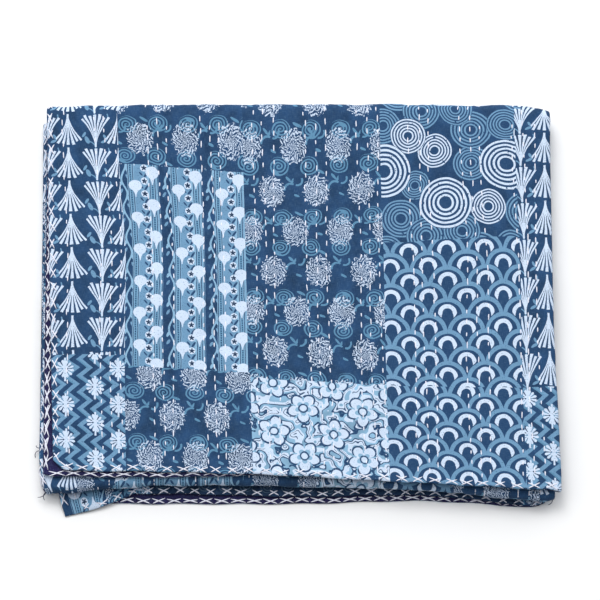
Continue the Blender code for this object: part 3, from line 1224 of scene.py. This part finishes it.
def flower_print():
    p = PrintTree("flower_print", wobble=1.8)
    p.ground("indigo")
    places = []
    for side, step in ((0.0, 0.0), (FLOWER_ACROSS / 2, FLOWER_ROWS)):
        x = cell(p.x - FLOWER_PLACE[0] - side, FLOWER_ACROSS)
        y = cell(p.y - FLOWER_PLACE[1] - step, 2 * FLOWER_ROWS)
        places.append((x, y))
        scroll_x = cell(p.x - FLOWER_PLACE[0] - side * 1.45, SCROLL_PITCH)
        p.paint(scroll(scroll_x, y + 26.0 + side * 0.45, 14.3), "dim")
        p.paint(curl(x - 27.0, y - 4.0, 8.5, 1.5, -0.6), "dim")
        p.paint(curl(x + 27.0, y - 17.0, 7.0, 1.4, 2.3), "dim")
        p.leaf(x - 25.0, y - 19.0, 40, 1.9, 5.6, "dim")
        p.leaf(x - 31.0, y - 17.0, -30, 1.7, 5.0, "dim")
        p.leaf(x + 29.0, y + 6.0, 65, 1.8, 5.2, "dim")
        p.leaf(x - 6.0, y - 28.0, 62, 2.0, 7.0, "dim")
    for x, y in places:
        p.paint(chrysanthemum(p, x, y, 18.5, 24.0), "white")
    return p.finished()


# One repeat of the ring print: each set of rings with its centre, its radius and its colour
RING_TILE = (176.0, 184.0)
RING_COLUMNS = ("x", "y", "radius", "paint")
RING_SETS = (
    (150, 26, 28, "blue"),
    (78, 100, 26, "blue"),
    (80, 153, 30, "blue"),
    (128, 160, 25, "blue"),
    (172, 74, 21, "blue"),
    (8, 182, 27, "blue"),
    (58, 2, 25, "blue"),
    (98, 34, 25, "white"),
    (26, 122, 25, "white"),
    (164, 146, 25, "white"),
    (38, 44, 37, "white"),
    (128, 96, 38, "white"),
)
RING_COUNT = 6


def ring_print():
    p = PrintTree("ring_print")
    p.ground("indigo")
    breaks = p.noise(0.16, 1.0, 12.0) > 0.70
    for row in named_rows(RING_COLUMNS, RING_SETS):
        x = cell(p.x - row["x"], RING_TILE[0])
        y = cell(p.y - row["y"], RING_TILE[1])
        radius = radius_of(x, y)
        p.paint(radius < row["radius"] + 0.8, "indigo")
        rings = (radius * (RING_COUNT / row["radius"])) % 1 > 0.50
        shown = between(radius, row["radius"] / RING_COUNT * 1.2, row["radius"])
        p.paint(rings & shown & (1.0 - breaks), row["paint"])
    return p.finished()


SCALE_WIDTH = 52.4
SCALE_ROWS = 22.2
SCALE_RADIUS = 26.4
SCALE_RIM = 5.7
ARCH_PLACE = 4.4
ARCH_INSIDE = 7.3
ARCH_OUTSIDE = 13.0


def scale(p, x, y, showing):
    """One scale: a blue rim, a dark band, a white arch and a dark middle."""
    radius = radius_of(x, y)
    p.paint(showing, "indigo")
    p.paint(showing & (radius > SCALE_RADIUS - SCALE_RIM), "blue")
    arch_radius = radius_of(x, y - ARCH_PLACE)
    narrow = ((ARCH_PLACE - y) * 0.5).at_least(0.0)
    arch = between(arch_radius, narrow + ARCH_INSIDE, ARCH_OUTSIDE - narrow)
    p.paint(showing & arch & (y > ARCH_PLACE - 7.0), "white")


def scale_print():
    p = PrintTree("scale_print")
    p.ground("indigo")
    front = ((p.y - SCALE_RADIUS) / SCALE_ROWS).floor() + 1.0
    for row in (front + 1.0, front):
        shift = (row % 2.0) * (SCALE_WIDTH / 2)
        x = cell(p.x - shift, SCALE_WIDTH)
        y = p.y - row * SCALE_ROWS
        scale(p, x, y, radius_of(x, y) < SCALE_RADIUS)
    return p.finished()


BLOOM_ACROSS = 84.0
BLOOM_ROWS = 76.0


def bloom_print():
    """A plain floral in the same blues: wide blooms among white brush strokes."""
    p = PrintTree("bloom_print", wobble=2.2)
    p.ground("sky")
    strokes = p.noise(0.036, 1.0, 21.0, 0.0) * 3.8 + p.noise(0.10, 1.0, 27.0, 0.0) * 1.2
    band = strokes % 1
    p.paint(band < 0.50, "white")
    p.paint(between(band, 0.50, 0.69), "indigo")
    p.paint(between(band, 0.22, 0.30) & (p.noise(0.05, 1.0, 33.0) > 0.47), "indigo")
    for side, step in ((0.0, 0.0), (BLOOM_ACROSS / 2, BLOOM_ROWS / 2)):
        x = cell(p.x - 20.0 - side, BLOOM_ACROSS)
        y = cell(p.y - 30.0 - step, BLOOM_ROWS)
        angle, radius = angle_of(x, y), radius_of(x, y * 0.94)
        petals = abs((angle * 2.5 + side).sin())
        p.paint(radius < petals * 8.0 + 15.8, "indigo")
        p.paint(radius < petals * 8.6 + 12.4, "white")
        p.paint(between(radius, 11.0, 17.0) & (petals < 0.20), "sky")
        p.paint(radius < petals * 5.0 + 6.2, "sky")
        p.paint(between(radius, 4.8, 6.9), "indigo")
        p.paint(radius < 4.6, "white")
    return p.finished()


def border_print():
    """Painted shade: a dark print of faint scrolls, on the lower hem, laid where the near fold shades the
    recess so that its colour stands in for that shadow.
    """
    p = PrintTree("border_print", wobble=1.4)
    p.ground("deep")
    p.paint(scroll(cell(p.x - 14.0, 31.0), cell(p.y - 9.0, 27.0), 10.5), "shade")
    return p.finished()


def navy_backing():
    p = PrintTree("navy_backing")
    p.ground("navy")
    return p.finished(roughness=0.8)


def thread_material(name, darker, lighter):
    """Matt, slightly fuzzy cotton thread."""
    material, tree, shader = new_material(name)
    place = tree.nodes.new("ShaderNodeTexCoord")
    fuzz = tree.nodes.new("ShaderNodeTexNoise")
    set_inputs(fuzz, {"Scale": 900.0})
    tree.links.new(place.outputs["Object"], fuzz.inputs["Vector"])
    tone = tree.nodes.new("ShaderNodeMix")
    tone.data_type = "RGBA"
    tone.inputs[6].default_value = (*darker, 1.0)
    tone.inputs[7].default_value = (*lighter, 1.0)
    tree.links.new(fuzz.outputs[0], tone.inputs[0])
    tree.links.new(tone.outputs[2], shader.inputs["Base Color"])
    add_bump(tree, shader, fuzz.outputs[0], 0.0002)
    set_inputs(shader, {"Roughness": 0.8, "Sheen Weight": 0.2})
    return material


COTTON_TONES = ((0.74, 0.76, 0.87), (0.89, 0.90, 1.00))
NAVY_TONES = ((0.010, 0.012, 0.040), (0.050, 0.055, 0.110))


# The patchwork. Each patch has its ends across the cloth, from the outer sheet's side hem at 0 to the
# side fold at 1, or from the side fold at -1 to the inner sheet's side hem at 0. Its ends along the
# cloth are in panels, and its print is shifted by millimetres. A later patch lies over an earlier.
PRINTS = {
    "flower": flower_print, "ginkgo": ginkgo_print, "chevron": chevron_print,
    "stripe": stripe_print, "ring": ring_print, "scale": scale_print, "bloom": bloom_print,
    "border": border_print,
}
PRINT_NUMBERS = {name: number for number, name in enumerate(PRINTS)}
PATCH_COLUMNS = ("print", "left", "right", "near", "far", "shift_u", "shift_v")
PATCHES = (
    ("flower", -1.100, 1.100, 0.000, 4.000, 0.0, 0.0),
    ("flower", 0.147, 0.392, 0.848, 1.400, 39.5, 6.0),
    ("flower", 0.147, 0.396, 0.000, 0.283, 43.0, 14.0),
    ("ginkgo", 0.000, 0.147, 0.314, 1.300, 0.0, 0.0),
    ("chevron", 0.000, 0.147, 0.000, 0.314, 0.0, 0.0),
    ("stripe", 0.147, 0.392, 0.283, 0.848, 0.0, 0.0),
    ("bloom", 0.396, 0.667, 0.000, 0.270, 0.0, 0.0),
    ("ring", 0.667, 0.938, 0.647, 1.220, 0.0, 0.0),
    ("scale", 0.667, 0.938, 0.270, 0.647, 13.3, 6.5),
    ("scale", 0.667, 0.938, 0.000, 0.270, 11.4, 3.3),
    ("ginkgo", 0.938, 1.100, 0.270, 1.400, 12.0, 19.0),
    ("chevron", 0.938, 1.100, 0.000, 0.270, 14.0, 8.0),
    ("ginkgo", -1.010, -0.900, 0.270, 1.400, 12.0, 19.0),
    ("chevron", -1.010, -0.900, 0.000, 0.270, 14.0, 8.0),
    ("stripe", -0.900, -0.550, 0.000, 0.500, 0.0, 0.0),
    ("scale", -0.300, 0.000, 0.200, 1.200, 0.0, 0.0),
    ("ginkgo", -0.078, -0.008, 1.600, 2.400, 60.7, 4.0),
    ("stripe", -0.395, -0.147, 1.600, 2.400, 8.0, 10.0),
    ("bloom", -0.665, -0.540, 1.600, 2.300, 0.0, 0.0),
    ("scale", -0.810, -0.665, 1.500, 2.400, 5.0, 12.0),
    ("ginkgo", -1.010, -0.975, 1.500, 2.600, 6.0, 0.0),
    ("ginkgo", -0.120, 0.000, 2.500, 3.500, 30.0, 9.0),
    ("stripe", -0.090, 0.000, 3.500, 4.000, 33.6, 45.0),
    ("scale", 0.000, 0.147, 1.500, 2.300, 0.0, 0.0),
    ("ginkgo", 0.000, 0.147, 2.800, 3.600, 0.0, 0.0),
    ("chevron", 0.000, 0.147, 3.600, 4.000, 0.0, 0.0),
    ("scale", 0.147, 0.400, 3.300, 4.000, 0.0, 0.0),
    ("ring", 0.400, 0.667, 2.800, 3.450, 60.0, 20.0),
    ("bloom", 0.667, 0.938, 3.600, 4.000, 0.0, 0.0),
    ("stripe", 0.667, 0.938, 2.900, 3.600, 12.0, 0.0),
    ("chevron", 0.938, 1.100, 2.800, 4.000, 0.0, 0.0),
    # Painted shade: this dark print on the bottom panel's inner hem stands in for the shadow in the
    # recess under the near fold.
    ("border", -0.960, -0.180, 3.900, 4.000, 0.0, 0.0),
)


def patch_finder():
    """A function that gives the number and the shift of the print at a place on the cloth."""
    rows = named_rows(PATCH_COLUMNS, PATCHES)

    def patch_at(u, v):
        on_outer = u < SHEET_WIDTH + SIDE_FOLD_WIDTH / 2
        across = (u if on_outer else u - CLOTH_WIDTH) / SHEET_WIDTH
        kind, number, share = station_at(v)
        place = number + share if kind == "panel" else number
        found = rows[0]
        for row in rows:
            if row["left"] <= across < row["right"] and row["near"] <= place < row["far"]:
                found = row
        return PRINT_NUMBERS[found["print"]], found["shift_u"] * MM, found["shift_v"] * MM

    return patch_at


def add_floor():
    data = bpy.data.meshes.new("floor")
    half = FLOOR_SIZE / 2
    data.from_pydata(
        [(-half, -half, 0), (half, -half, 0), (half, half, 0), (-half, half, 0)], [], [(0, 1, 2, 3)]
    )
    material, _, shader = new_material("studio_floor")
    set_inputs(shader, {
        "Base Color": (0.94, 0.94, 0.94, 1.0), "Roughness": 0.9, "Specular IOR Level": 0.1,
    })
    new_object("floor", data, [material])


def add_light(name, place, aim, size, energy):
    data = bpy.data.lights.new(name, "AREA")
    data.shape = "DISK"
    data.size = size
    data.energy = energy
    light = bpy.data.objects.new(name, data)
    light.location = place
    light.rotation_euler = (Vector(aim) - Vector(place)).to_track_quat("-Z", "Y").to_euler()
    bpy.context.scene.collection.objects.link(light)


def add_camera():
    data = bpy.data.cameras.new("camera")
    data.lens = CAMERA_LENS
    data.sensor_width = 36
    data.clip_end = 60
    camera = bpy.data.objects.new("camera", data)
    back = Vector((0, -math.cos(CAMERA_ELEVATION), math.sin(CAMERA_ELEVATION)))
    camera.location = CAMERA_TARGET + back * CAMERA_DISTANCE
    camera.rotation_euler = (math.pi / 2 - CAMERA_ELEVATION, 0, 0)
    bpy.context.scene.collection.objects.link(camera)
    bpy.context.scene.camera = camera


def light_studio():
    world = bpy.data.worlds.new("studio")
    world.use_nodes = True
    tree = world.node_tree
    sky = tree.nodes["Background"]
    sky.inputs["Color"].default_value = (0.975, 0.985, 1.0, 1.0)
    place = tree.nodes.new("ShaderNodeTexCoord")
    slant = tree.nodes.new("ShaderNodeVectorMath")
    slant.operation = "DOT_PRODUCT"
    slant.inputs[1].default_value = SKY_SLANT
    rise = tree.nodes.new("ShaderNodeMapRange")
    set_inputs(rise, {"From Min": 0.10, "From Max": 0.80, "To Min": 0.02, "To Max": 1.48})
    tree.links.new(place.outputs["Generated"], slant.inputs[0])
    tree.links.new(slant.outputs["Value"], rise.inputs["Value"])
    tree.links.new(rise.outputs[0], sky.inputs["Strength"])
    bpy.context.scene.world = world
    add_light("key", (-0.3, 1.6, 2.9), (0, 0, 0), 1.7, 42)
    bpy.context.scene.view_settings.view_transform = "Standard"


def main():
    add_camera()
    add_floor()
    light_studio()
    materials = [make_print() for make_print in PRINTS.values()] + [navy_backing()]
    cloth = build_cloth(materials, patch_finder())
    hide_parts("quilt")
    cotton = thread_material("cotton_thread", *COTTON_TONES)
    navy = thread_material("navy_thread", *NAVY_TONES)
    running, hems, loose = ThreadMesh(), ThreadMesh(), ThreadMesh()
    sew_rows(running)
    sew_hems(hems)
    hang_loose_ends(loose)
    stitches = running.build("running_stitches", cotton)
    hem_threads = hems.build("hem_threads", cotton)
    loose_threads = loose.build("loose_threads", navy)
    for piece, slot in (
        (cloth, "printed_cotton"), (stitches, "white_thread"), (hem_threads, "white_thread"),
        (loose_threads, "navy_backing"),
    ):
        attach(piece, "root")


main()
